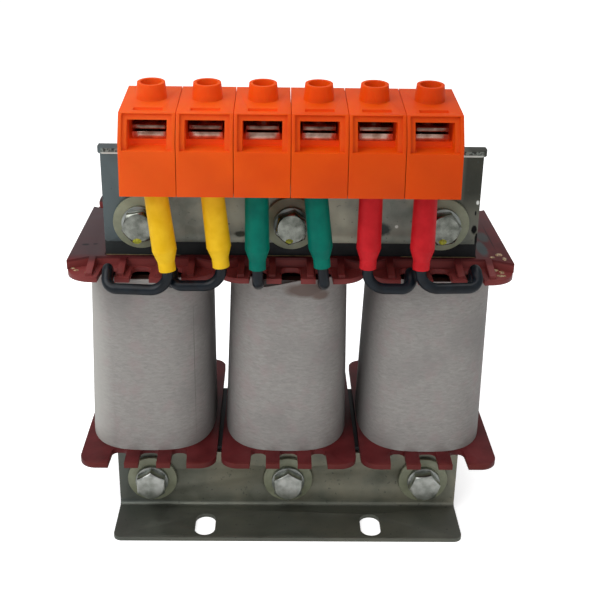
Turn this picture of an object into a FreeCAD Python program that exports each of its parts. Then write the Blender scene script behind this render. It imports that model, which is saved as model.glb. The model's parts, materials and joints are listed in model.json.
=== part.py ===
import FreeCAD, Part
import math
import os
import re

import Sketcher

Vector = FreeCAD.Vector
Rotation = FreeCAD.Rotation
Placement = FreeCAD.Placement

# Three-phase dv-dt filter: three coils on a laminated core that is clamped between folded
# brackets, with a row of six terminal blocks along the front top edge.
# The origin is under the middle of the core, in the plane that the feet stand on.
# X runs to the right along the row of coils, Y to the rear and Z up. All sizes are in millimetres.
SIZES = {
    # Core of stacked sheet steel
    "core_lift": 0.7,
    "limb_width": 25.0,
    "window_width": 25.0,
    "window_height": 75.0,
    "yoke_height": 25.0,
    "stack_depth": 45.0,
    "air_gap": 1.0,
    "core_hole": 8.2,
    # Bobbins
    "tube_clearance": 0.4,
    "tube_wall": 1.6,
    "tube_end_gap": 0.1,
    "flange_gap": 0.5,
    "flange_front_reach": 7.0,
    "flange_rear_reach": 16.0,
    "flange_corner": 9.0,
    "bottom_flange": 2.0,
    "bottom_flange_gap": 1.7,
    "bottom_front_reach": 9.4,
    "bottom_rear_reach": 16.0,
    "bottom_corner": 6.0,
    "top_flange": 1.8,
    "top_flange_drop": 5.1,
    "rib_width": 2.2,
    "rib_nose": 0.9,
    "rib_edge_gap": 1.4,
    "inner_rib": 6.3,
    "outer_rib": 16.7,
    "deck_slant": 4.0,
    "notch_half": 3.2,
    "tooth_width": 4.9,
    "slot_width": 5.3,
    "slot_flare": 0.5,
    "slot_round": 2.2,
    "top_slot_gap": 1.0,
    "bottom_slot_gap": 3.3,
    # Coils
    "coil_side_build": 4.0,
    "flange_side_reach": 3.85,
    "coil_gap": 1.5,
    "winding_corner": 11.0,
    "front_bulge": 2.6,
    "side_bulge": 1.6,
    "wrap_thickness": 0.5,
    "lead_hole_gap": 0.3,
    # Top brackets
    "top_bracket_inset": 0.3,
    "top_sheet": 2.0,
    "top_bracket_drop": 19.7,
    "top_bracket_rise": 14.0,
    "lip_reach": 6.3,
    "top_bend": 1.2,
    "lip_corner": 2.5,
    "plate_corner": 1.0,
    "bracket_hole": 8.2,
    # Foot brackets
    "foot_bracket_inset": 0.1,
    "foot_sheet": 1.5,
    "foot_bracket_drop": 1.7,
    "foot_reach": 21.0,
    "foot_bend": 1.5,
    "foot_corner": 3.0,
    "foot_slot_width": 7.3,
    "foot_slot_length": 13.0,
    "foot_slot_pitch": 60.0,
    "foot_slot_edge": 1.7,
    "arc_margin": 0.01,
    # Fasteners
    "bolt_diameter": 6.0,
    "bolt_inset": 12.5,
    "bolt_bore_gap": 0.2,
    "hex_width": 10.0,
    "head_height": 4.0,
    "nut_height": 5.0,
    "bolt_end": 1.8,
    "washer_diameter": 12.0,
    "washer_thickness": 1.6,
    "insulator_diameter": 18.0,
    "insulator_thickness": 1.5,
    "spring_diameter": 11.0,
    "spring_thickness": 1.6,
    "bolt_tube_diameter": 8.0,
    # Terminal blocks
    "terminal_pitch": 17.2,
    "terminal_width": 17.0,
    "row_shift": -0.8,
    "block_reach": 21.4,
    "block_drop": 9.2,
    "block_rise": 7.3,
    "block_lean": 1.4,
    "brow_height": 15.0,
    "brow_set": 4.6,
    "roof_rise": 2.5,
    "block_back": 4.2,
    "lip_gap": 0.3,
    "lip_slot_gap": 0.2,
    "bracket_gap": 0.5,
    "under_lip_chamfer": 1.4,
    "collar_from_rear": 11.2,
    "collar_height": 4.9,
    "collar_root": 0.5,
    "collar_base_diameter": 9.7,
    "collar_diameter": 8.6,
    "driver_hole": 6.6,
    "driver_depth": 4.0,
    "frame_width": 14.9,
    "frame_depth": 1.0,
    "frame_rise": 14.7,
    "sill_rise": 4.5,
    "wire_window_width": 11.9,
    "wire_window_rise": 12.9,
    "chamber_width": 12.0,
    "chamber_setback": 9.2,
    "chamber_wall": 2.7,
    "chamber_rise": 13.6,
    "label_width": 8.9,
    "label_length": 2.6,
    "label_depth": 0.6,
    "label_setback": 8.3,
    "sleeve_hole_width": 12.8,
    "sleeve_hole_length": 8.8,
    "sleeve_hole_rise": 3.0,
    "tail_hole_width": 7.4,
    "tail_hole_length": 3.6,
    "tail_hole_shift": 0.3,
    "cut_margin": 1.0,
    # Contacts and clamps
    "bar_width": 10.3,
    "bar_rise": 6.2,
    "bar_setback": 0.4,
    "bar_thickness": 2.2,
    "clamp_width": 10.0,
    "clamp_thickness": 1.2,
    "clamp_gap": 0.8,
    "clamp_hole_gap": 0.2,
    "screw_lean": 0.4,
    "screw_diameter": 4.0,
    "screw_bore_gap": 0.1,
    "screw_head_diameter": 6.0,
    "screw_head_height": 2.9,
    "screw_slot_width": 1.0,
    "screw_slot_depth": 1.2,
    "join_depth": 0.5,
    "tail_diameter": 2.0,
    "barrel_diameter": 5.6,
    "barrel_length": 8.0,
    "barrel_drop": 19.7,
    "barrel_floor": 1.2,
    "barrel_gap": 0.05,
    # Sleeves and leads
    "sleeve_diameter": 7.3,
    "sleeve_shoulder_diameter": 7.9,
    "sleeve_low_diameter": 5.5,
    "sleeve_gap": 0.1,
    "sleeve_insert": 2.5,
    "sleeve_step_rise": 3.0,
    "sleeve_step": 3.8,
    "sleeve_inner_step": 1.0,
    "sleeve_barrel_gap": 0.5,
    "sleeve_axis_reach": 9.2,
    "lead_diameter": 3.6,
    "lead_entry_drop": 4.5,
    "lead_end_gap": 0.05,
    "lead_side_bend": 6.0,
    "lead_front_bend": 3.4,
    "lead_arch_bend": 2.4,
    "lead_entry_bend": 2.5,
    "lead_arch_reach": 5.2,
    "lead_entry_reach": 3.4,
    "short_lead_reach": 4.2,
    "short_lead_bend": 3.6,
    "short_lead_turn": 0.3,
}

# Sizes that follow from the driving ones
DERIVED = {
    "coil_pitch": "limb_width + window_width",
    "core_width": "3 * limb_width + 2 * window_width",
    "window_floor": "core_lift + yoke_height",
    "window_top": "window_floor + window_height",
    "core_top": "window_top + yoke_height",
    "low_bolt_height": "core_lift + bolt_inset",
    "high_bolt_height": "core_top - bolt_inset",
    "stack_face": "stack_depth / 2",
    "tube_hole_width": "limb_width + 2 * tube_clearance",
    "tube_hole_depth": "stack_depth + 2 * tube_clearance",
    "tube_width": "tube_hole_width + 2 * tube_wall",
    "tube_depth": "tube_hole_depth + 2 * tube_wall",
    "bobbin_foot": "window_floor + tube_end_gap",
    "tube_top": "window_top - tube_end_gap",
    "winding_floor": "bobbin_foot + bottom_flange",
    "winding_top": "window_top - top_flange_drop",
    "coil_top": "winding_top - coil_gap",
    "top_flange_face": "winding_top + top_flange",
    "flange_width": "coil_pitch - flange_gap",
    "winding_width": "flange_width - 2 * flange_side_reach",
    "winding_depth": "tube_depth + 2 * coil_side_build",
    "winding_face": "winding_depth / 2",
    "flange_front": "winding_face + flange_front_reach",
    "flange_rear": "winding_face + flange_rear_reach",
    "top_slot_root": "tube_depth / 2 + top_slot_gap",
    "bottom_width": "coil_pitch - bottom_flange_gap",
    "bottom_front": "winding_face + bottom_front_reach",
    "bottom_rear": "winding_face + bottom_rear_reach",
    "bottom_slot_root": "tube_depth / 2 + bottom_slot_gap",
    "slot_inner": "notch_half + tooth_width",
    "slot_outer": "slot_inner + slot_width",
    "slot_centre": "slot_inner + slot_width / 2",
    "top_face": "stack_face + top_sheet",
    "foot_face": "stack_face + foot_sheet",
    "lip_front": "top_face + lip_reach",
    "top_bracket_width": "core_width - 2 * top_bracket_inset",
    "top_bracket_low": "core_top - top_bracket_drop",
    "top_bracket_high": "core_top + top_bracket_rise",
    "foot_bracket_width": "core_width - 2 * foot_bracket_inset",
    "foot_bracket_height": "window_floor - foot_bracket_drop",
    "foot_edge": "foot_face + foot_reach",
    "foot_slot_reach": "foot_edge - foot_slot_edge - foot_slot_length / 2",
    "bolt_bore": "bolt_diameter + bolt_bore_gap",
    "hex_radius": "hex_width / 2 / cos(30)",
    "lip_top": "top_bracket_high",
    "lip_low": "top_bracket_high - top_sheet",
    "block_front": "lip_front + block_reach",
    "block_floor": "lip_top - block_drop",
    "block_rear": "top_face - block_back",
    "knee_front": "block_front - block_lean",
    "knee_height": "lip_top + block_rise",
    "brow_front": "knee_front - brow_set",
    "roof_front": "lip_top + brow_height",
    "roof_back": "roof_front + roof_rise",
    "roof_depth": "brow_front - block_rear",
    "roof_angle": "atan(roof_rise / roof_depth)",
    "collar_axis": "block_rear + collar_from_rear",
    "collar_foot": "roof_back - roof_rise * collar_from_rear / roof_depth",
    "brow_slope": "brow_set / (roof_front - knee_height)",
    "sill": "lip_top + sill_rise",
    "frame_top": "lip_top + frame_rise",
    "frame_back": "knee_front - frame_depth",
    "frame_head": "brow_front + (roof_front - frame_top) * brow_slope - frame_depth",
    "wire_window_top": "lip_top + wire_window_rise",
    "chamber_front": "block_front - chamber_setback",
    "chamber_back": "block_rear + chamber_wall",
    "chamber_top": "lip_top + chamber_rise",
    "bar_front": "chamber_front - bar_setback",
    "bar_rear": "chamber_back + bar_setback",
    "bar_length": "bar_front - bar_rear",
    "bar_low": "lip_top + bar_rise",
    "bar_top": "bar_low + bar_thickness",
    "screw_axis": "collar_axis - screw_lean",
    "clamp_low": "bar_top + clamp_gap",
    "head_low": "clamp_low + clamp_thickness",
    "barrel_top": "lip_top - barrel_drop",
    "barrel_low": "barrel_top - barrel_length",
    "sleeve_top": "block_floor + sleeve_insert",
    "sleeve_hole_top": "block_floor + sleeve_hole_rise",
    "sleeve_axis_depth": "lip_front + sleeve_axis_reach",
    "lead_hole": "lead_diameter + 2 * lead_hole_gap",
    "lead_entry": "winding_top - lead_entry_drop",
}


def formula(text):
    """Write out a formula in the sheet's own cell names."""
    def name(match):
        word = match.group()
        if word in DERIVED:
            return "(" + formula(DERIVED[word]) + ")"
        if word in SIZES:
            return "Dims." + word
        return word
    return re.sub(r"[a-z]\w*", name, text)


def value(text):
    """The number that a formula gives now."""
    return float(sheet.evalExpression(formula(text)))


def bind(thing, path, text):
    """Hold one property or constraint at a formula."""
    thing.setExpression(path, formula(text))


def pattern_body(label):
    """Start a piece that is made once and placed several times."""
    body = document.addObject("PartDesign::Body", label)
    body.Label = label
    return body


def solid_body(label):
    """Start a piece with a name of its own."""
    body = pattern_body(label)
    pieces.append(body)
    return body


def placed(label, pattern, place):
    """Set one more of the same piece at its own x."""
    copy = document.addObject("Part::Compound", label)
    copy.Label = label
    copy.Links = [pattern]
    bind(copy, "Placement.Base.x", place)
    pieces.append(copy)


def face_sketch(body, name, plane, offset="0"):
    """Sketch on one of the piece's own origin planes, moved along the plane's normal."""
    sketch = body.newObject("Sketcher::SketchObject", name)
    origin_plane = [item for item in body.Origin.OriginFeatures if item.Role == plane][0]
    sketch.AttachmentSupport = [(origin_plane, "")]
    sketch.MapMode = "FlatFace"
    bind(sketch, "AttachmentOffset.Base.z", offset)
    return sketch


def hold_point(sketch, edge, end, place):
    """Hold one end or centre of an edge at its own x and y formula."""
    for kind, text in zip(("DistanceX", "DistanceY"), place):
        row = sketch.addConstraint(Sketcher.Constraint(kind, -1, 1, edge, end, value(text)))
        bind(sketch, f"Constraints[{row}]", text)


def outline(sketch, corners):
    """Draw a closed outline of straight lines through the corners."""
    first = sketch.GeometryCount
    spots = [Vector(value(x), value(y), 0) for x, y in corners]
    count = len(spots)
    for number in range(count):
        sketch.addGeometry(Part.LineSegment(spots[number], spots[(number + 1) % count]), False)
    for number in range(count):
        following = first + (number + 1) % count
        sketch.addConstraint(Sketcher.Constraint("Coincident", first + number, 2, following, 1))
    for number, corner in enumerate(corners):
        hold_point(sketch, first + number, 1, corner)


def rectangle(sketch, left, right, low, high):
    outline(sketch, [(left, low), (right, low), (right, high), (left, high)])


def circle(sketch, centre, diameter):
    spot = Vector(value(centre[0]), value(centre[1]), 0)
    edge = sketch.addGeometry(Part.Circle(spot, Vector(0, 0, 1), value(diameter) / 2), False)
    hold_point(sketch, edge, 3, centre)
    row = sketch.addConstraint(Sketcher.Constraint("Diameter", edge, value(diameter)))
    bind(sketch, f"Constraints[{row}]", diameter)


def bulged_outline(sketch, half_width, half_depth, side_bulge, front_bulge):
    """Draw four arcs that swell outward between four corners."""
    right = f"({half_width}) - {side_bulge}"
    rear = f"({half_depth}) - {front_bulge}"
    corners = [(f"-({right})", f"-({rear})"), (right, f"-({rear})"), (right, rear), (f"-({right})", rear)]
    middles = [("0", f"-({half_depth})"), (half_width, "0"), ("0", half_depth), (f"-({half_width})", "0")]
    for number in range(4):
        ends = [corners[number], corners[(number + 1) % 4]]
        places = (ends[0], middles[number], ends[1])
        start, through, end = [Vector(value(x), value(y), 0) for x, y in places]
        sketch.addGeometry(Part.Arc(start, through, end), False)
    for number in range(4):
        half_chord, swell = (right, front_bulge) if number % 2 == 0 else (rear, side_bulge)
        radius = f"(({half_chord}) ^ 2 + {swell} ^ 2) / (2 * {swell})"
        sketch.addConstraint(Sketcher.Constraint("Coincident", number, 2, (number + 1) % 4, 1))
        hold_point(sketch, number, 1, corners[number])
        row = sketch.addConstraint(Sketcher.Constraint("Radius", number, value(radius)))
        bind(sketch, f"Constraints[{row}]", radius)


def pad(body, name, sketch, length, symmetric=False):
    feature = body.newObject("PartDesign::Pad", name)
    feature.Profile = sketch
    feature.SideType = "Symmetric" if symmetric else "One side"
    bind(feature, "Length", length)
    document.recompute()
    return feature


def pocket(body, name, sketch, length, symmetric=False, reversed_way=False):
    """Cut a pocket and see that it takes something away."""
    volume = body.Shape.Volume
    feature = body.newObject("PartDesign::Pocket", name)
    feature.Profile = sketch
    feature.SideType = "Symmetric" if symmetric else "One side"
    feature.Reversed = reversed_way
    bind(feature, "Length", length)
    document.recompute()
    if not body.Shape.Volume < volume - 0.001:
        raise ValueError(f"{body.Label}: {name} cuts nothing")
    return feature


def round_edges(body, name, spots, radius):
    """Round the edges whose middles lie at the given spots."""
    base = body.Tip
    middles = [Vector(value(x), value(y), value(z)) for x, y, z in spots]
    names = []
    for number, edge in enumerate(base.Shape.Edges):
        centre = edge.CenterOfMass
        if any(centre.distanceToPoint(middle) < 0.01 for middle in middles):
            names.append(f"Edge{number + 1}")
    if len(names) != len(middles):
        raise ValueError(f"{body.Label}: {name} finds {len(names)} of {len(middles)} edges")
    feature = body.newObject("PartDesign::Fillet", name)
    feature.Base = (base, names)
    bind(feature, "Radius", radius)
    document.recompute()


def signs(spot, *axes):
    """The spot and its mirror images along the given axes."""
    spots = [tuple(spot)]
    for axis in axes:
        spots += [tuple(f"-({part})" if number == axis else part for number, part in enumerate(item))
                  for item in spots]
    return spots


document = FreeCAD.newDocument("dv_dt_filter")
sheet = document.addObject("Spreadsheet::Sheet", "Dims")
for row, (alias, number) in enumerate(SIZES.items(), start=1):
    sheet.set(f"A{row}", alias)
    sheet.set(f"B{row}", str(number))
    sheet.setAlias(f"B{row}", alias)
document.recompute()
pieces = []

COIL_PLACES = {"left": "-coil_pitch", "centre": "0", "right": "coil_pitch"}
BOLT_PLACES = ["-coil_pitch", "0", "coil_pitch"]


# Core

def core_holes(body, height):
    sketch = face_sketch(body, "bolt_holes", "XZ_Plane")
    for place in BOLT_PLACES:
        circle(sketch, (place, height), "core_hole")
    pocket(body, "bolt_hole_cut", sketch, "2 * stack_depth", symmetric=True)


legs = solid_body("core_leg_stack")
leg_outline = face_sketch(legs, "e_sheet", "XZ_Plane")
limb_top = "window_top - air_gap"
left_limb = "-coil_pitch - limb_width / 2"
leg_corners = [(left_limb, "core_lift"), (f"-({left_limb})", "core_lift")]
for place in reversed(BOLT_PLACES):
    right = f"{place} + limb_width / 2"
    left = f"{place} - limb_width / 2"
    if place != BOLT_PLACES[-1]:
        leg_corners.append((right, "window_floor"))
    leg_corners += [(right, limb_top), (left, limb_top)]
    if place != BOLT_PLACES[0]:
        leg_corners.append((left, "window_floor"))
outline(leg_outline, leg_corners)
pad(legs, "sheet_stack", leg_outline, "stack_depth", symmetric=True)
core_holes(legs, "low_bolt_height")

yoke = solid_body("core_top_yoke")
yoke_outline = face_sketch(yoke, "i_sheet", "XZ_Plane")
rectangle(yoke_outline, "-core_width / 2", "core_width / 2", "window_top", "core_top")
pad(yoke, "sheet_stack", yoke_outline, "stack_depth", symmetric=True)
core_holes(yoke, "high_bolt_height")


def group(label, members):
    """Put separate solids of one kind under one name."""
    compound = document.addObject("Part::Compound", label)
    compound.Label = label
    compound.Links = members
    pieces.append(compound)


def box(name, left, front, low, width, depth, height):
    piece = document.addObject("Part::Box", name)
    for path, text in (("Length", width), ("Width", depth), ("Height", height)):
        bind(piece, path, text)
    for path, text in (("x", left), ("y", front), ("z", low)):
        bind(piece, "Placement.Base." + path, text)
    return piece


spacers = []
for number, place in enumerate(BOLT_PLACES, start=1):
    spacers.append(box(f"spacer_{number}", f"{place} - limb_width / 2", "-stack_face", limb_top,
                       "limb_width", "stack_depth", "air_gap"))
group("gap_spacers", spacers)


# Bobbins

def slots(body, name, base, drop, root, front, rear):
    """Cut the centre notch and the two lead slots into the front and rear of a flange."""
    sketch = face_sketch(body, name, "XY_Plane", base)
    cuts = [("-notch_half", "notch_half", "0", "0"), ("slot_inner", "slot_outer", "0", "slot_flare"),
            ("-slot_outer", "-slot_inner", "slot_flare", "0")]
    for side, edge in (("-", front), ("", rear)):
        mouth = f"{side}({edge} + cut_margin)"
        for left, right, left_flare, right_flare in cuts:
            outline(sketch, [(left, f"{side}({root})"), (right, f"{side}({root})"),
                             (f"{right} + {right_flare}", mouth), (f"{left} - {left_flare}", mouth)])
    pocket(body, name + "_cut", sketch, drop)
    middle = f"({base}) - ({drop}) / 2"
    spots = []
    for cut_sides in cuts:
        for x in cut_sides[:2]:
            spots += signs((x, root, middle), 1)
    round_edges(body, name + "_roots", spots, "slot_round")


def flange(body, name, low, thickness, slot_root, width, front, rear, corner):
    """Add one flange plate with rounded corners, slots and notches."""
    plate = face_sketch(body, name + "_outline", "XY_Plane", low)
    rectangle(plate, f"-{width} / 2", f"{width} / 2", f"-({front})", rear)
    pad(body, name + "_plate", plate, thickness)
    middle = f"{low} + {thickness} / 2"
    corners = []
    for edge in (f"-({front})", rear):
        corners += signs((f"{width} / 2", edge, middle), 0)
    round_edges(body, name + "_corners", corners, corner)
    slots(body, name + "_slots", f"{low} + {thickness}", thickness, slot_root, front, rear)


def rib(body, name, place):
    """Add a pair of sloping ribs on the top flange, one to the front and one to the rear."""
    sketch = face_sketch(body, name + "_outline", "YZ_Plane", f"{place} - rib_width / 2")
    for side, edge in (("-", "flange_front"), ("", "flange_rear")):
        root = f"{side}(tube_depth / 2)"
        tip = f"{side}({edge} - rib_edge_gap)"
        outline(sketch, [(root, "top_flange_face"), (root, "tube_top"), (tip, "top_flange_face + rib_nose"),
                         (tip, "top_flange_face")])
    pad(body, name, sketch, "rib_width")


def bobbin(label):
    body = pattern_body(label)
    flange(body, "bottom_flange", "bobbin_foot", "bottom_flange", "bottom_slot_root", "bottom_width",
           "bottom_front", "bottom_rear", "bottom_corner")
    tube = face_sketch(body, "tube_outline", "XY_Plane", "bobbin_foot")
    rectangle(tube, "-tube_width / 2", "tube_width / 2", "-tube_depth / 2", "tube_depth / 2")
    pad(body, "tube", tube, "tube_top - bobbin_foot")
    flange(body, "top_flange", "winding_top", "top_flange", "top_slot_root", "flange_width", "flange_front",
           "flange_rear", "flange_corner")
    # The raised deck beside the core, with slanting ends toward the flange's sides
    deck = face_sketch(body, "deck_outline", "XY_Plane", "top_flange_face")
    corner_x = "outer_rib + rib_width / 2"
    side_y = "tube_depth / 2 + deck_slant"
    outline(deck, [("-flange_width / 2", f"-({side_y})"), (f"-({corner_x})", "-tube_depth / 2"),
                   (corner_x, "-tube_depth / 2"), ("flange_width / 2", f"-({side_y})"),
                   ("flange_width / 2", side_y), (corner_x, "tube_depth / 2"),
                   (f"-({corner_x})", "tube_depth / 2"), ("-flange_width / 2", side_y)])
    pad(body, "deck", deck, "tube_top - top_flange_face")
    for name, place in (("left_outer_rib", "-outer_rib"), ("left_inner_rib", "-inner_rib"),
                        ("right_inner_rib", "inner_rib"), ("right_outer_rib", "outer_rib")):
        rib(body, name, place)
    hole = face_sketch(body, "tube_hole_outline", "XY_Plane", "(window_floor + window_top) / 2")
    rectangle(hole, "-tube_hole_width / 2", "tube_hole_width / 2", "-tube_hole_depth / 2",
              "tube_hole_depth / 2")
    pocket(body, "tube_hole", hole, "window_height", symmetric=True)
    return body


def coil_blank(body, name, inset):
    """Pad the coil's swelling outline, drawn in or out by an inset, and round its corners."""
    sketch = face_sketch(body, name + "_outline", "XY_Plane", "winding_floor")
    half_width = f"winding_width / 2 - ({inset})"
    half_depth = f"winding_depth / 2 - ({inset})"
    bulged_outline(sketch, half_width, half_depth, "side_bulge", "front_bulge")
    pad(body, name, sketch, "coil_top - winding_floor")
    corner = (f"{half_width} - side_bulge", f"{half_depth} - front_bulge", "(winding_floor + coil_top) / 2")
    round_edges(body, name + "_corners", signs(corner, 0, 1), f"winding_corner - ({inset})")


def winding(label):
    body = pattern_body(label)
    coil_blank(body, "coil", "0")
    hole = face_sketch(body, "coil_hole_outline", "XY_Plane", "coil_top")
    rectangle(hole, "-tube_width / 2", "tube_width / 2", "-tube_depth / 2", "tube_depth / 2")
    pocket(body, "coil_hole", hole, "coil_top - winding_floor")
    return body


def wrap(label, lead_places):
    body = pattern_body(label)
    coil_blank(body, "tape", "-wrap_thickness")
    blank = pattern_body(label + "_inside")
    coil_blank(blank, "coil", "0")
    hollow = body.newObject("PartDesign::Boolean", "winding_space")
    hollow.Type = "Cut"
    hollow.addObjects([blank])
    body.Tip = hollow
    document.recompute()
    holes = face_sketch(body, "lead_hole_outline", "XZ_Plane")
    for lead_place in lead_places:
        circle(holes, (lead_place, "lead_entry"), "lead_hole")
    pocket(body, "lead_holes", holes, "winding_depth", reversed_way=True)
    return body


patterns = {"bobbin": bobbin("bobbin"), "winding": winding("winding"),
            "coil_wrap": wrap("coil_wrap", ["-slot_centre", "slot_centre"])}
for kind, pattern in patterns.items():
    for side, place in COIL_PLACES.items():
        placed(f"{kind}_{side}", pattern, place)


# Brackets

def bracket(label, side, corners, width, bend_spot, bend, holes, hole_height):
    """Fold a bracket from sheet: side is "-" at the front and "" at the rear."""
    body = solid_body(label)
    profile = face_sketch(body, "fold_profile", "YZ_Plane")
    outline(profile, [(f"{side}({y})", z) for y, z in corners])
    pad(body, "fold", profile, width, symmetric=True)
    inner, outer = bend_spot
    round_edges(body, "inner_bend", [("0", f"{side}({inner[0]})", inner[1])], bend[0])
    round_edges(body, "outer_bend", [("0", f"{side}({outer[0]})", outer[1])], bend[1])
    bores = face_sketch(body, "bolt_holes", "XZ_Plane")
    for place in holes:
        circle(bores, (place, hole_height), "bracket_hole")
    pocket(body, "bolt_hole_cut", bores, "4 * stack_depth", symmetric=True)
    return body


for label, side in (("top_bracket_front", "-"), ("top_bracket_rear", "")):
    fold = [("stack_face", "top_bracket_low"), ("top_face", "top_bracket_low"), ("top_face", "lip_low"),
            ("lip_front", "lip_low"), ("lip_front", "lip_top"), ("stack_face", "lip_top")]
    bends = (("top_face", "lip_low"), ("stack_face", "lip_top"))
    body = bracket(label, side, fold, "top_bracket_width", bends, ("top_bend", "top_bend + top_sheet"),
                   BOLT_PLACES, "high_bolt_height")
    half = "top_bracket_width / 2"
    lip_middle = (half, f"{side}(lip_front)", "lip_top - top_sheet / 2")
    plate_middle = (half, f"{side}(stack_face + top_sheet / 2)", "top_bracket_low")
    round_edges(body, "lip_corners", signs(lip_middle, 0), "lip_corner")
    round_edges(body, "plate_corners", signs(plate_middle, 0), "plate_corner")

for label, side in (("foot_bracket_front", "-"), ("foot_bracket_rear", "")):
    fold = [("stack_face", "0"), ("foot_edge", "0"), ("foot_edge", "foot_sheet"),
            ("foot_face", "foot_sheet"), ("foot_face", "foot_bracket_height"),
            ("stack_face", "foot_bracket_height")]
    bends = (("foot_face", "foot_sheet"), ("stack_face", "0"))
    body = bracket(label, side, fold, "foot_bracket_width", bends, ("foot_bend", "foot_bend + foot_sheet"),
                   BOLT_PLACES, "low_bolt_height")
    half = "foot_bracket_width / 2"
    foot_middle = (half, f"{side}(foot_edge)", "foot_sheet / 2")
    round_edges(body, "foot_corners", signs(foot_middle, 0), "foot_corner")
    slot_outline = face_sketch(body, "foot_slots", "XY_Plane")
    for place in ("-foot_slot_pitch / 2", "foot_slot_pitch / 2"):
        rows = sorted([f"{side}(foot_slot_reach - foot_slot_length / 2)",
                       f"{side}(foot_slot_reach + foot_slot_length / 2)"], key=value)
        rectangle(slot_outline, f"{place} - foot_slot_width / 2", f"{place} + foot_slot_width / 2", *rows)
    pocket(body, "foot_slot_cut", slot_outline, "3 * foot_sheet", symmetric=True)
    ends = []
    for place in ("-foot_slot_pitch / 2", "foot_slot_pitch / 2"):
        for edge in ("-", "+"):
            for end in ("-", "+"):
                ends.append((f"{place} {edge} foot_slot_width / 2",
                             f"{side}(foot_slot_reach {end} foot_slot_length / 2)", "foot_sheet / 2"))
    round_edges(body, "foot_slot_ends", ends, "foot_slot_width / 2 - arc_margin")


# Bolts, washers and nuts: each row is the height of its bolts and the face that they clamp
BOLT_ROWS = {"top": ("high_bolt_height", "top_face"), "foot": ("low_bolt_height", "foot_face")}


def facing(name, draw, front, length):
    """Extrude one shape at every bolt of a row, from its front plane to the rear."""
    sketch = document.addObject("Sketcher::SketchObject", name + "_outline")
    sketch.Placement = Placement(Vector(0, 0, 0), Rotation(Vector(1, 0, 0), 90))
    bind(sketch, "Placement.Base.y", f"({front}) + ({length})")
    draw(sketch)
    block = document.addObject("Part::Extrusion", name)
    block.Base = sketch
    block.DirMode = "Normal"
    block.Solid = True
    bind(block, "LengthFwd", length)
    return block


def rings(name, height, inner, outer, front, length):
    def draw(sketch):
        for place in BOLT_PLACES:
            circle(sketch, (place, height), outer)
            circle(sketch, (place, height), inner)
    return facing(name, draw, front, length)


def discs(name, height, diameter, front, length):
    def draw(sketch):
        for place in BOLT_PLACES:
            circle(sketch, (place, height), diameter)
    return facing(name, draw, front, length)


def hexagons(name, height, turns, bore, front, length):
    """Hexagons across the bolt places, each turned by its own angle, with a bore or without."""
    def draw(sketch):
        for place, turn in zip(BOLT_PLACES, turns):
            corners = []
            for number in range(6):
                angle = 60 * number + turn
                corners.append((f"{place} + hex_radius * cos({angle})",
                                f"{height} + hex_radius * sin({angle})"))
            outline(sketch, corners)
            if bore:
                circle(sketch, (place, height), bore)
    return facing(name, draw, front, length)


HEAD_TURNS = {"top": (12, 20, 8), "foot": (30, 30, 8)}
flat_washers = []
insulators = []
springs = []
nuts = []
tubes = []
for row, (height, face) in BOLT_ROWS.items():
    outer_face = f"{face} + insulator_thickness"
    washer_face = f"{outer_face} + washer_thickness"
    spring_face = f"{washer_face} + spring_thickness"
    nut_face = f"{spring_face} + nut_height"
    insulators.append(rings(f"{row}_front_insulator", height, "bolt_bore", "insulator_diameter",
                            f"-({outer_face})", "insulator_thickness"))
    insulators.append(rings(f"{row}_rear_insulator", height, "bolt_bore", "insulator_diameter",
                            face, "insulator_thickness"))
    flat_washers.append(rings(f"{row}_front_washer", height, "bolt_bore", "washer_diameter",
                              f"-({washer_face})", "washer_thickness"))
    flat_washers.append(rings(f"{row}_rear_washer", height, "bolt_bore", "washer_diameter",
                              outer_face, "washer_thickness"))
    springs.append(rings(f"{row}_spring", height, "bolt_bore", "spring_diameter", washer_face,
                         "spring_thickness"))
    nuts.append(hexagons(f"{row}_nut", height, (4, 17, 25), "bolt_diameter", spring_face, "nut_height"))
    tubes.append(rings(f"{row}_tube", height, "bolt_bore", "bolt_tube_diameter", f"-({face})",
                       f"2 * ({face})"))
    heads = hexagons(f"{row}_heads", height, HEAD_TURNS[row], "", f"-({washer_face} + head_height)",
                     "head_height")
    shanks = discs(f"{row}_shanks", height, "bolt_diameter", f"-({washer_face})",
                   f"{washer_face} + {nut_face} + bolt_end")
    bolts = document.addObject("Part::Fuse", f"{row}_bolts")
    bolts.Label = f"{row}_bolts"
    bolts.Base = heads
    bolts.Tool = shanks
    pieces.append(bolts)
group("flat_washers", flat_washers)
group("insulating_washers", insulators)
group("spring_washers", springs)
group("nuts", nuts)
group("bolt_tubes", tubes)


# Terminal blocks

def terminal_place(number):
    return f"row_shift + terminal_pitch * {number - 3.5}"


def lean_on_roof(feature, depth):
    """Stand a round feature square on the sloping roof, with its base at a depth below it."""
    bind(feature, "Placement.Base.y", f"-(collar_axis) + {depth} * sin(roof_angle)")
    bind(feature, "Placement.Base.z", f"collar_foot - {depth} * cos(roof_angle)")
    feature.Placement = Placement(feature.Placement.Base, Rotation(Vector(1, 0, 0), 1))
    bind(feature, "Placement.Rotation.Angle", "roof_angle")
    document.recompute()


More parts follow.
